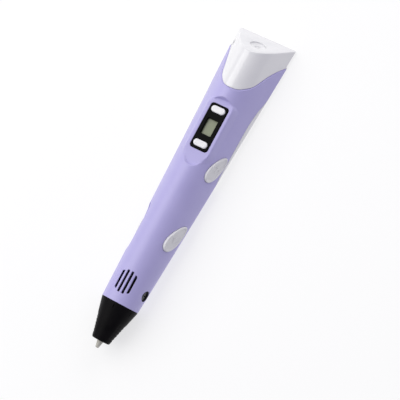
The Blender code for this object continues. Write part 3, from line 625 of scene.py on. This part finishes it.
def vent_slot(index):
    """One slot of the vent: the four slots together fill a hexagon with rounded corners."""
    centre, pitch, half = VENT
    middle, corner = pitch * index - 1.5 * pitch, 0.4

    def outline(grow):
        side = []
        for k in range(13):
            t = -1 + k / 6
            y = middle + t * (half + grow)
            reach = 6.0 - 0.62 * max(0.0, abs(y) - 1.75) + grow
            inside = (1 - abs(t)) * (half + grow)
            if inside < corner:
                reach -= corner - math.sqrt(corner ** 2 - (corner - inside) ** 2)
            side.append((reach, y))
        return [(centre + x, y) for x, y in side] + [(centre - x, y) for x, y in side[::-1]]

    return outline


def add_inner_walls(shell):
    """The cup behind the side screw and the plate under the slide track, kept inside the skin."""
    cup = combine(rod("screw_cup", SCREW_AXIS, 4.2, (-9.6, -6.9), axis="Y"),
                  "INTERSECT", body("cup_limit", 28.0, 40.0, 0.6, 6))
    plate = rounded(TRACK[0] + 1.0, 7.0, 2.0)
    join(shell, cup, stack("track_floor", [(plate, h) for h in (-2.7, -1.56)], flank_place(*SLIDER, 1)))


def cut_display(shell):
    middle, length, width = BEZEL
    steps = ((0, 17.9), (0, 18.85), (0.1, 18.97), (0.4, 19.02), (0.4, 25))
    pocket = [(rounded(length + 0.3 + g, width + 0.3 + g, 1.65, 8, (middle, 0)), h) for g, h in steps]
    window = rounded(24.8, 9.0, 1.0, 4, (middle, 0))
    cut(shell, stack("bezel_pocket", pocket), stack("window", [(window, 15), (window, 25)]))


def cut_vent(shell):
    """Thins the shell from inside, and cuts the four slots through it."""
    thin = loft("thin", [ring(28.4 + 2.4 * k, THIN_SKIN) for k in range(7)])
    keep = box("keep", (20.0, 50.0), (-5.2, 5.2), (12.0, 30.0))
    cut(shell, combine(thin, "INTERSECT", keep))
    top = Matrix.Translation((0, 0, 20.0))
    cut(shell, *[mouth(f"vent_{k}", top, vent_slot(k), 5.0, 0.22) for k in range(4)])


def cut_side_screw(shell):
    x, z = SIDE_SCREW
    place = Matrix(((1, 0, 0, x), (0, 0, -1, -10.0), (0, 1, 0, z), (0, 0, 0, 1)))
    cut(shell, mouth("screw_pocket", place, lambda grow: circle(3.0 + grow), 1.95, 0.2),
        rod("screw_hole", SCREW_AXIS, 1.4, (-9, -6), axis="Y"))


def cut_track(shell):
    def outline(grow):
        return rounded(TRACK[0] + 2 * grow, TRACK[1] + 2 * grow, TRACK[1] / 2 - 0.1 + grow, 14)

    place = flank_place(*SLIDER, 1)
    slot = rounded(*SLOT, 1.0, 6)
    cut(shell, mouth("track", place, outline, TRACK_DEPTH, 0.3),
        stack("slot", [(slot, -4.0), (slot, 0.0)], place))


def make_front_shell():
    shell = loft("shell_front", [ring(x) for x in RINGS])
    cut(shell, body("cavity", GRIP_END - 1, 180.0, WALL, 120))
    cut(shell, below("under_seam", SEAM + TRIM_LINE, GAP), beside_cap("under_cap", -GAP, 200))
    cut(shell, lip("cap_lip", CAP_LINE, 0.5, GAP))
    add_inner_walls(shell)
    cut_display(shell)
    cut_vent(shell)
    cut_side_screw(shell)
    for name, (x, z) in OVALS.items():
        cut(shell, mouth(name, flank_place(x, z, -1), lambda grow: leaf(0.12 + grow), 3.5, 0.16))
    cut_track(shell)
    put(shell, "pen_body", "lavender_plastic", "front_shell", skin=SKIN)


def add_bosses(shell, group):
    """Screw posts with a counterbore from the back: its rim is rounded."""
    bore = [(-2, 0), (-2, 2.3), (0.0, 1.95), (0.2, 1.78), (2.2, 1.75), (2.2, 1.05), (6, 1.05), (6, 0)]
    for x, y in POSTS[group]:
        join(shell, rod("boss", (x, y, 0), 2.05, (1.0, 4.7)))
        cut(shell, revolve("counterbore", bore, (x, y, 0), "Z", 40))


def make_back_shell():
    shell = body("shell_back", GRIP_END, TRIM_START - HAIR, steps=20)
    cut(shell, body("cavity", GRIP_END - 1, TRIM_START + 1, WALL, 10))
    cut(shell, above("over_seam", BACK_SEAM, -0.05))
    add_bosses(shell, "case")
    put(shell, "pen_body", "lavender_plastic", "back_shell", skin=SKIN)


def make_rear_trim():
    trim = body("trim_rear", TRIM_START + HAIR, 176.0, steps=24)
    cut(trim, body("cavity", TRIM_START - 1, 178.0, WALL, 12))
    cut(trim, above("over_trim", [(90.0, 2.55)] + TRIM_LINE, -0.02), beside_cap("trim_end", -GAP, 200))
    add_bosses(trim, "trim")
    put(trim, "pen_body", "white_plastic", "rear_trim", skin=SKIN)


SECTIONS = {}


def ring_point(x, k, inset):
    """Point k of the section at x. Sections are kept, because the tail face asks for them again."""
    key = (round(x, 3), inset)
    if key not in SECTIONS:
        SECTIONS[key] = ring(key[0], inset)
    return SECTIONS[key][k]


def tail_ring(share, inset, back):
    """A ring at a share of the way from x = 138 to a face that stays back from the slanted tail face."""
    start = 138.0
    points = []
    for k in range(len(ring(start))):
        x = 172.0
        for _ in range(4):
            x = TAIL_FOOT - back - TAIL_SLOPE * ring_point(x, k, inset)[2]
        points.append(ring_point(start + (x - start) * share, k, inset))
    return points


def tail_place():
    """A place on the tail face at the feed port: its Z runs out of the face."""
    out = Vector((1.0, 0.0, TAIL_SLOPE)).normalized()
    across = Vector((0.0, 1.0, 0.0))
    place = Matrix((across, out.cross(across), out)).transposed().to_4x4()
    place.translation = (TAIL_FOOT - TAIL_SLOPE * PORT_Z, 0.0, PORT_Z)
    return place


def make_end_cap():
    """A plug with a rounded tail edge, cut to the cap's line and hollowed, with the port's tube inside."""
    rings = [tail_ring(k / 20, CAP_INSET, 0.6) for k in range(21)]
    for inset, back in ((0.05, 0.34), (0.16, 0.16), (0.33, 0.04), (0.55, 0.0)):
        rings.append(tail_ring(1.0, CAP_INSET + inset, back))
    cap = loft("cap_end", rings)
    cut(cap, beside_cap("before_cap", 0.02, 120))
    hollow = body("hollow", 136.0, 187.0, CAP_INSET + CAP_WALL, 10)
    foot = TAIL_FOOT - 2.4
    wall = [(foot + 4 * TAIL_SLOPE, -4), (foot - 30 * TAIL_SLOPE, 30), (260, 30), (260, -4)]
    cut(hollow, side_prism("wall", wall))
    cut(cap, hollow)
    join(cap, rod("port_tube", (0, 0, PORT_Z), PORT_R + 1.3, (167.0, 171.0), axis="X", steps=64))
    bore = [(0.0, -2.25), (0.0, -0.22), (0.04, -0.1), (0.13, -0.02), (0.3, 0.05), (0.6, 0.3), (0.6, 12.0)]
    cut(cap, stack("port_bore", [(circle(PORT_R + grow, 72), height) for grow, height in bore], tail_place()),
        rod("stem_way", (0, 0, PORT_Z), 3.2, (160.0, 174.0), axis="X"))
    cut(cap, box("jack_pocket", (169.8, 175.8), (5.4, 12.2), (1.9, 7.9)),
        rod("jack_mouth", JACK_AXIS, 2.3, (12.0, 20.0), "Y", 48))
    put(cap, "pen_body", "white_plastic", "end_cap", skin=CAP_SKIN)


# ---------------------------------------------------------------- nose

def make_grip():
    """A cone with shallow steps across its two finger flats, and six short marks round its wide end."""
    first, pitch, count = 6.3, 1.65, 6
    last = first + pitch * count
    start, small, big = 4.5, 4.95, FRONT_R - 0.06

    def scale(along, radius, angle):
        """How far the steps lie under the cone."""
        if radius < 5.2 or not first <= along <= last:
            return 0.0
        off = abs(90 - abs(math.degrees(math.atan2(math.cos(angle), math.sin(angle)))))
        fade = min(1.0, max(0.0, (36 - off) / 5))
        step = (along - first) / pitch
        return -0.26 * fade * (1.0 - (step - math.floor(step + 1e-6)))

    rows = [start + 0.15 * k for k in range(3)]
    for k in range(count):
        edge = first + pitch * k
        rows += [edge - 0.02, edge + 0.02, edge + 0.4, edge + 0.8, edge + 1.2]
    rows += [last - 0.02, last + 0.05, 18.0, 20.0, 22.0, 23.0, GRIP_END - 0.55]
    lean = (big - small) / (GRIP_END - 0.3 - start)
    tip = [(3.9, 1.9), (3.9, 4.2), (3.96, start), (4.15, 4.75)]
    cone = [(x, small + (x - start) * lean) for x in sorted(rows)]
    rim = [(GRIP_END - 0.2, big - 0.03), (GRIP_END - 0.1, big - 0.12), (GRIP_END - 0.06, big - 0.3)]
    inside = [(GRIP_END - 0.06, 8.25), (28.2, 8.25), (28.2, 7.2), (23.5, 7.2), (6.2, 3.3), (6.2, 1.9)]
    grip = revolve("grip", tip + cone + rim + inside, (0, 0, FRONT_R), steps=160, bumps=scale)
    mark = rounded(2.2, 0.4, 0.18, 4, (22.3, 0))
    marks = []
    for k in range(6):
        turn = Matrix.Translation((0, 0, FRONT_R)) @ Matrix.Rotation(math.radians(2 + 60 * k), 4, "X")
        marks.append(stack(f"mark_{k}", [(mark, 9.05), (mark, 12.0)], turn))
    cut(grip, *marks)
    put(grip, "pen_body", "black_plastic", "grip_nose", angle=25)


def make_nozzle():
    profile = [
        (0.0, 0.35), (0.02, 0.55), (0.1, 0.72), (0.28, 0.86), (0.55, 0.97), (3.9, 1.69), (6.5, 1.72),
        (6.5, 2.9), (8.2, 2.9), (8.2, 2.0), (11.8, 2.0), (11.8, 1.05), (2.4, 1.05), (1.2, 0.35), (0.2, 0.33),
    ]
    put(revolve("nozzle_tip", profile, (0, 0, FRONT_R), steps=64), "pen_body", "ceramic", "nozzle")


def make_grip_screw():
    """A domed cross-head screw across the pen, and a thin collar that follows the skin round it."""
    profile = [
        (-9.72, 0), (-9.7, 0.9), (-9.62, 1.7), (-9.45, 2.3), (-9.2, 2.65), (-8.95, 2.76), (-8.2, 2.8),
        (-8.2, 1.1), (-3.9, 1.1), (-3.4, 0.5), (-3.4, 0),
    ]
    head = revolve("screw_grip", profile, SCREW_AXIS, axis="Y", steps=48)
    x, z = SIDE_SCREW
    for a, b in ((0.3, 1.4), (1.4, 0.3)):
        cut(head, box("cross", (x - a, x + a), (-11, -8.9), (z - b, z + b)))
    place = flank_place(x, z, -1)
    collar = stack("collar", [(circle(2.95), -1.75), (circle(2.95), -0.5), (circle(2.9), -0.42)], place)
    inside = ((2.6, -3.0), (2.6, -0.95), (2.84, -0.6), (2.88, 1.0))
    cut(collar, stack("inside", [(circle(radius), height) for radius, height in inside], place))
    join(head, collar)
    put(head, "pen_body", "steel", "grip_screw", material=DARK_STEEL)


def make_case_screws():
    """The screws at the bottom of the counterbores, with crosses that narrow inwards."""
    profile = [
        (0.62, 0), (0.64, 0.8), (0.74, 1.2), (0.92, 1.5), (1.1, 1.6), (2.1, 1.6), (2.1, 0.85), (9.6, 0.85),
        (9.6, 0),
    ]
    for group, posts in POSTS.items():
        for number, (x, y) in enumerate(posts, 1):
            screw = revolve(f"screw_{group}_{number}", profile, (x, y, 0), axis="Z", steps=40)
            for a, b in ((0.42, 1.9), (1.9, 0.42)):
                wide, narrow = (rounded(a + g, b + g, 0.1, 2, (x, y)) for g in (0.25, 0.0))
                cut(screw, stack("cross", [(wide, 0.3), (narrow, 1.5)]))
            put(screw, "pen_body", "steel", f"{group}_screw_{number}", material=DARK_STEEL)


# ---------------------------------------------------------------- display and controls

def make_display():
    middle, length, width = BEZEL
    wide, tall = PILL_SIZE
    crown = ((0, 17.1), (0, 19.45), (-0.12, 19.62), (-0.36, 19.76), (-0.75, 19.85), (-1.3, 19.89),
             (-2.1, 19.9))
    rim = ((0, 18.05), (0, 19.08), (-0.1, 19.2), (-0.28, 19.28), (-0.5, BEZEL_TOP))

    def plate(grow):
        return rounded(length + grow, width + grow, 1.5 + grow / 2, 10, (middle, 0))

    def lcd(grow):
        return rounded(LCD_OPENING[0] + 2 * grow, LCD_OPENING[1] + 2 * grow, 0.45 + grow, 6, (middle, 0))

    def hole(outline, edge):
        """A cutter for an opening with a rounded edge. outline(grow) gives its points."""
        layers = ((0, 17.0), (0, BEZEL_TOP - edge), (edge * 0.35, BEZEL_TOP - edge * 0.4),
                  (edge * 1.2, BEZEL_TOP + 0.01), (edge * 2, 21.0))
        return stack("hole", [(outline(grow), height) for grow, height in layers])

    bezel = stack("bezel", [(plate(grow), height) for grow, height in rim])
    cut(bezel, hole(lcd, 0.3))
    for name, x in PILLS.items():
        def pill(grow, x=x):
            return rounded(wide + grow, tall + grow, (wide + grow) / 2 - 0.03, 12, (x, 0))

        cut(bezel, hole(lambda grow: pill(0.3 + 2 * grow), 0.16))
        button = stack(f"pill_{name}", [(pill(grow), height) for grow, height in crown])
        put(button, name, "button_plastic", name, material=FINISHES["white_plastic"])
    put(bezel, "pen_body", "gloss_black_plastic", "display_bezel")
    full, top = rounded(12.0, 8.4, 0.5, 4, (middle, 0)), rounded(11.8, 8.2, 0.4, 4, (middle, 0))
    glass = stack("display_glass", [(full, 14.75), (full, 17.8), (top, 17.9)])
    put(glass, "pen_body", "lcd_glass", "lcd_module")


def arrow(direction, grow=0.0):
    """A plain arrow: the sign for which way the filament goes."""
    shape = [(2.9, 0.0), (0.7, 1.5), (0.7, 0.62), (-2.2, 0.62), (-2.2, -0.62), (0.7, -0.62), (0.7, -1.5)]
    points = [(direction * x * (1 - grow), y * (1 - grow)) for x, y in shape]
    turn = Matrix.Rotation(OVAL_LEAN, 2)
    return [tuple(turn @ Vector(p)) for p in points]


def make_ovals():
    """The flank's buttons: a rounded rim round a shallow dish, with an arrow in it."""
    layers = (
        (-0.5, -3.6), (0.0, 0.2), (-0.03, 0.36), (-0.13, 0.52), (-0.3, 0.65), (-0.5, 0.72), (-0.75, 0.75),
        (-0.95, 0.73), (-1.12, 0.64), (-1.25, 0.52), (-1.42, 0.45), (-1.8, 0.42), (-2.5, 0.41), (-3.2, 0.405),
    )
    for name, (x, z) in OVALS.items():
        place = flank_place(x, z, -1)
        button = stack(f"oval_{name}", [(leaf(grow), height) for grow, height in layers], place)
        direction = -1 if name == "feed_button" else 1
        sign, top = arrow(direction), arrow(direction, 0.1)
        join(button, stack("sign", [(sign, 0.1), (sign, 0.58), (top, 0.62)], place))
        put(button, name, "button_plastic", name)


def make_slider():
    """The knob with five ribs across it, and the stem that reaches through the slot."""
    place = flank_place(*SLIDER, 1)
    base, edge, face = rounded(8.6, 6.6, 1.2), rounded(8.4, 6.4, 1.1), rounded(8.0, 6.0, 0.9)
    knob = stack("slider_knob", [(base, -0.85), (base, -0.72), (edge, -0.63), (face, -0.6)], place)
    ribs = []
    for k in range(5):
        middle = (1.3 * (k - 2), 0)
        foot = rounded(0.62, 4.8, 0.3, 5, middle)
        shoulder, top = rounded(0.5, 4.6, 0.24, 5, middle), rounded(0.24, 4.3, 0.11, 5, middle)
        ribs.append(stack(f"rib_{k}", [(foot, -0.8), (foot, -0.5), (shoulder, -0.42), (top, -0.38)], place))
    stem = rounded(3.0, 1.6, 0.2, 3)
    join(knob, *ribs, stack("stem", [(stem, -3.2), (stem, -0.6)], place))
    put(knob, "speed_slider", "button_plastic", "speed_slider")


def make_port():
    """The dish in the tail face, with the hole for the filament and its funnel."""
    port = rod("port_dish", (0, 0, PORT_Z), 3.05, (164.8, 175.0), axis="X", steps=48)
    tail = tail_place()
    disc = [(-0.4, -2.1), (-0.15, -1.9), (-0.05, -1.6), (-0.05, 0.0)]
    join(port, stack("disc", [(circle(PORT_R + grow, 72), height) for grow, height in disc], tail))
    dish = [(2.3, -1.12), (3.2, -0.98), (3.75, -0.86), (4.0, -0.76), (4.1, -0.6), (6.0, -0.55), (6.0, 12.0)]
    hole = [
        (160.0, 0), (160.0, 2.15), (167.6, 2.15), (167.6, 1.2), (173.2, 1.2), (173.6, 1.25), (174.4, 1.5),
        (175.4, 2.0), (190.0, 2.0), (190.0, 0),
    ]
    cut(port, stack("dish", [(circle(radius, 72), height) for radius, height in dish], tail),
        revolve("hole", hole, (0, 0, PORT_Z), steps=48))
    put(port, "pen_body", "white_plastic", "feed_port")


def make_jack():
    """The power socket: a block inside the cap, a sleeve flush with the flank, and a pin in the bore."""
    jack = box("jack_body", (170.0, 175.6), (5.6, 12.0), (2.1, 7.7))
    sleeve = rod("sleeve", JACK_AXIS, 2.22, (11.5, 18.0), axis="Y", steps=64)
    join(jack, combine(sleeve, "INTERSECT", body("flush", 168.0, 178.0, CAP_INSET + 0.1, 10)))
    cut(jack, rod("jack_bore", JACK_AXIS, 1.6, (7.5, 20.0), "Y", 48))
    put(jack, "pen_body", "white_plastic", "power_jack")
    profile = [(7.0, 0), (7.0, 0.5), (12.6, 0.5), (12.9, 0.35), (13.0, 0.15), (13.0, 0)]
    put(revolve("jack_pin", profile, JACK_AXIS, "Y", 32), "pen_body", "steel", "power_jack")


# ---------------------------------------------------------------- stage

def make_floor():
    """A pale floor that glows a little, so that it stays near white under the soft shadow."""
    floor = bpy.data.materials.new("pale floor")
    floor.use_nodes = True
    tree = floor.node_tree
    shader = tree.nodes["Principled BSDF"]
    noise = tree.nodes.new("ShaderNodeTexNoise")
    noise.inputs["Scale"].default_value = 40.0
    tones = tree.nodes.new("ShaderNodeValToRGB")
    tones.color_ramp.elements[0].color = (0.35, 0.35, 0.35, 1)
    tones.color_ramp.elements[1].color = (0.37, 0.37, 0.37, 1)
    tree.links.new(noise.outputs["Fac"], tones.inputs["Fac"])
    tree.links.new(tones.outputs["Color"], shader.inputs["Base Color"])
    shader.inputs["Roughness"].default_value = 0.7
    shader.inputs["Specular IOR Level"].default_value = 0.1
    shader.inputs["Emission Color"].default_value = (1.0, 1.0, 1.0, 1.0)
    shader.inputs["Emission Strength"].default_value = 0.66
    mesh = bpy.data.meshes.new("floor")
    mesh.from_pydata([(-4, -4, 0), (4, -4, 0), (4, 4, 0), (-4, 4, 0)], [], [(0, 1, 2, 3)])
    mesh.materials.append(floor)
    plane = bpy.data.objects.new("floor", mesh)
    bpy.context.scene.collection.objects.link(plane)
    plane.location.z = -0.0002


def softbox(name, place, aim, size, power, colour):
    light = bpy.data.lights.new(name, "AREA")
    light.shape = "RECTANGLE"
    light.size, light.size_y = size
    light.energy = power
    light.color = colour
    lamp = bpy.data.objects.new(name, light)
    bpy.context.scene.collection.objects.link(lamp)
    lamp.location = place
    lamp.rotation_mode = "QUATERNION"
    lamp.rotation_quaternion = (Vector(aim) - Vector(place)).to_track_quat("-Z", "Y")


def make_light():
    """Sizes and places in metres, in the frame."""
    world = bpy.data.worlds.new("studio")
    bpy.context.scene.world = world
    world.use_nodes = True
    background = world.node_tree.nodes["Background"]
    background.inputs["Color"].default_value = (0.93, 0.91, 1.08, 1.0)
    background.inputs["Strength"].default_value = 0.35
    softbox("key", (0.0, 0.7, 0.95), (0, 0, 0.01), (1.6, 1.2), 11.8, (0.99, 0.99, 0.93))
    softbox("tail", (1.1, -0.1, 0.6), (0.05, 0, 0.01), (0.9, 0.9), 4.4, (1.0, 0.99, 0.96))
    bpy.context.scene.view_settings.view_transform = "Standard"


def make_camera():
    """A long lens over the display side, a little towards the flank with the oval buttons."""
    place, target = at((29.439, -150.807, 513.528)), at((89.668, -11.177, 10.0))
    lean = math.radians(28.12)  # of the pen, from upright to the right in the picture
    aim = (target - place).normalized()
    tailward = Vector((1.0, 0.0, 0.0))
    tailward = (tailward - aim * tailward.dot(aim)).normalized()
    upright = math.cos(lean) * tailward - math.sin(lean) * aim.cross(tailward)
    turn = Matrix((aim.cross(upright), upright, -aim)).transposed().to_4x4()
    turn.translation = place
    data = bpy.data.cameras.new("camera")
    data.sensor_width, data.lens = 36.0, 93.346
    data.clip_start, data.clip_end = 0.05, 20.0
    camera = bpy.data.objects.new("camera", data)
    bpy.context.scene.collection.objects.link(camera)
    camera.matrix_world = turn
    bpy.context.scene.camera = camera


make_floor()
make_light()
make_camera()
make_front_shell()
make_back_shell()
make_rear_trim()
make_end_cap()
make_grip()
make_nozzle()
make_grip_screw()
make_case_screws()
make_display()
make_ovals()
make_slider()
make_port()
make_jack()

slots = {entry["node"]: entry["material_slot"] for entry in frame["record"]["subparts"]}
for name, obj in frame["nodes"].items():
    obj.data.materials.clear()
    obj.data.materials.append(FINISHES[slots[name]])
